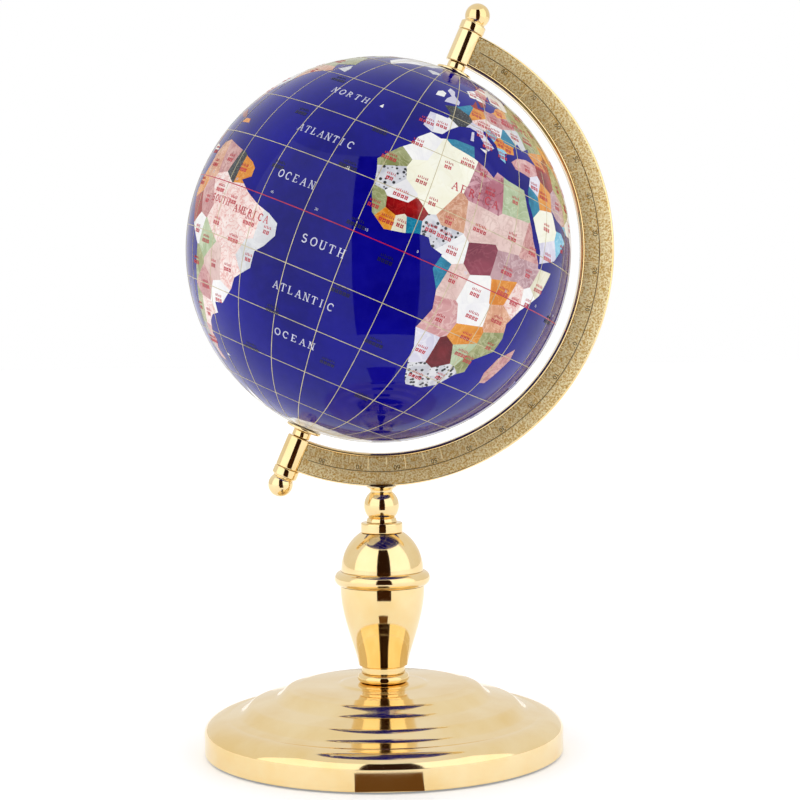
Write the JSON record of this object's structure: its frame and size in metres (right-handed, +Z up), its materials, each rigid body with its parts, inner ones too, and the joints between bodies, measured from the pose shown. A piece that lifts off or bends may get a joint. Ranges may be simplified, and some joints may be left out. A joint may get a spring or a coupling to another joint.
{
  "type": "desktop globe on stand",
  "caption": "Desktop globe with inlaid stone map, turning on a tilted axis in a C-shaped meridian arm on a turned brass column and stepped round base.",
  "frame": {"origin": "centre of the felt pad's underside, where the globe rests on a desk", "axes": "+Z up, +X towards the bow of the meridian arm, which is where the north pole leans; the Atlantic side of the map faces -Y at rest"},
  "size_m": [0.1672, 0.15, 0.2924],
  "materials": {
    "polished_gold": "mirror polished, gold plated",
    "sanded_gold": "sand-cast texture, gold plated",
    "steel": "turned",
    "cast_iron": "as cast",
    "felt": "felt",
    "core_plastic": "moulded",
    "ocean_resin": "polished resin",
    "ivory_stone": "polished stone",
    "rose_stone": "polished stone",
    "pink_marble": "polished stone",
    "olive_stone": "polished stone",
    "pearl_stone": "polished stone",
    "orange_stone": "polished stone",
    "red_stone": "polished stone"
  },
  "bodies": {
    "stand": {"felt_pad": "felt", "base_shell": "polished_gold", "base_weight": "cast_iron", "rod_washer": "steel", "rod_nut": "steel", "tie_rod": "steel", "foot_ring": "polished_gold", "urn_body": "polished_gold", "bead_ring": "polished_gold", "urn_cap": "polished_gold", "column_collar": "polished_gold", "column_ball": "polished_gold", "arm_saddle": "polished_gold", "meridian_arm": "sanded_gold", "arm_screw": "steel", "north_barrel": "polished_gold", "south_barrel": "polished_gold", "north_pivot_pin": "polished_gold", "south_pivot_pin": "polished_gold", "north_finial": "polished_gold", "south_finial": "polished_gold"},
    "globe": {"north_pole_bush": "polished_gold", "south_pole_bush": "polished_gold", "core_north": "core_plastic", "core_south": "core_plastic", "core_seam_ring": "core_plastic", "ocean_layer": "ocean_resin", "africa_stone": "ivory_stone", "madagascar_stone": "rose_stone", "south_america_stone": "pink_marble", "north_america_stone": "olive_stone", "greenland_stone": "pearl_stone", "europe_stone": "ivory_stone", "asia_stone": "orange_stone", "australia_stone": "red_stone", "antarctica_stone": "pearl_stone", "great_britain_stone": "pearl_stone", "japan_stone": "rose_stone", "borneo_stone": "olive_stone", "new_guinea_stone": "pink_marble"}
  },
  "joints": [
    {"name": "globe_spin", "type": "hinge", "parent": "stand", "child": "globe", "pos_m": [0, 0, 0.1966], "axis": [0.3987, 0, 0.9171], "continuous": true}
  ]
}
